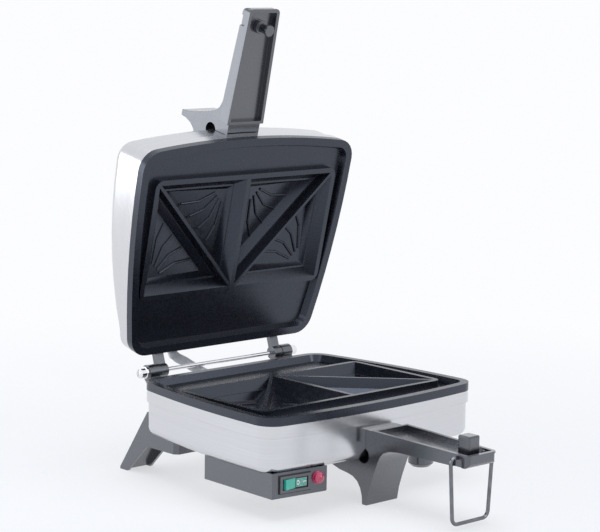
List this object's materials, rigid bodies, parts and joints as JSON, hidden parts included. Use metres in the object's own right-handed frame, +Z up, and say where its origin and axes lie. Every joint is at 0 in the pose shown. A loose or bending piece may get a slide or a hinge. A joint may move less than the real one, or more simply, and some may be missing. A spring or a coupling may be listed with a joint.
{
  "type": "sandwich toaster",
  "caption": "Tabletop sandwich toaster with hinged cast plates, stainless shells, black channel handles, a swinging wire latch and a rocker switch.",
  "frame": {"origin": "centre of the object's bounding box at table height, with the lid open as in the picture", "axes": "+X to the object's right seen from the front, +Y to the rear hinge, +Z up; the handles point to -Y"},
  "size_m": [0.2404, 0.3526, 0.4015],
  "materials": {
    "stainless": "finely brushed",
    "coated_plate": "cast, black non-stick coating, satin",
    "element_steel": "dull, heat-darkened",
    "zinc_screws": "zinc plated",
    "black_moulding": "polished black moulding",
    "hinge_black": "satin black",
    "rocker_green": "translucent green, glossy",
    "lens_red": "translucent red, faceted",
    "lamp_body": "matt",
    "brass_tabs": "plain",
    "porcelain": "glazed",
    "wire_sheath": "silicone sheath",
    "chrome_wire": "plated wire",
    "chrome_rod": "bright chrome",
    "rubber_gland": "matt",
    "conduit_grey": "grey sleeve"
  },
  "bodies": {
    "base": {"base_tub": "stainless", "base_band": "stainless", "base_plate": "coated_plate", "base_element": "element_steel", "base_reflector": "stainless", "base_reflector_screw": "zinc_screws", "base_plate_screws": "zinc_screws", "control_box": "black_moulding", "box_screws": "zinc_screws", "switch_frame": "black_moulding", "switch_terminals": "brass_tabs", "neon_lens": "lens_red", "neon_body": "lamp_body", "thermostat": "porcelain", "thermostat_cover": "black_moulding", "thermal_fuse": "porcelain", "terminal_block": "porcelain", "cord_inlet": "black_moulding", "inner_wires": "wire_sheath", "rear_leg_left": "black_moulding", "rear_leg_right": "black_moulding", "leg_screws": "zinc_screws", "lower_handle": "black_moulding", "lower_handle_screws": "zinc_screws", "handle_block": "black_moulding", "base_hinge_left": "hinge_black", "base_hinge_right": "hinge_black", "base_hinge_screws": "zinc_screws", "hinge_rod": "chrome_rod", "cap_nuts": "chrome_rod", "base_gland": "rubber_gland", "conduit": "conduit_grey"},
    "lid": {"lid_gland": "rubber_gland", "lid_shell": "stainless", "lid_band": "stainless", "lid_plate": "coated_plate", "lid_element": "element_steel", "lid_reflector": "stainless", "lid_reflector_screw": "zinc_screws", "lid_handle": "black_moulding", "lid_handle_screws": "zinc_screws", "stop_peg": "black_moulding", "lid_hinge_left": "hinge_black", "lid_hinge_right": "hinge_black", "lid_hinge_screws": "zinc_screws"},
    "bail": {"wire_bail": "chrome_wire"},
    "rocker": {"rocker_switch": "rocker_green"}
  },
  "joints": [
    {"name": "lid_hinge", "type": "hinge", "parent": "base", "child": "lid", "pos_m": [0, 0.14236, 0.0863], "axis": [-1, 0, 0], "range_deg": [-77.3, 22], "deforming": ["conduit"]},
    {"name": "bail_pivot", "type": "hinge", "parent": "base", "child": "bail", "pos_m": [0, -0.16434, 0.059], "axis": [-1, 0, 0], "range_deg": [-70, 180]},
    {"name": "rocker_tip", "type": "hinge", "parent": "base", "child": "rocker", "pos_m": [-0.09158, -0.0538, 0.03], "axis": [0, 0, 1], "range_deg": [-14, 0]}
  ]
}
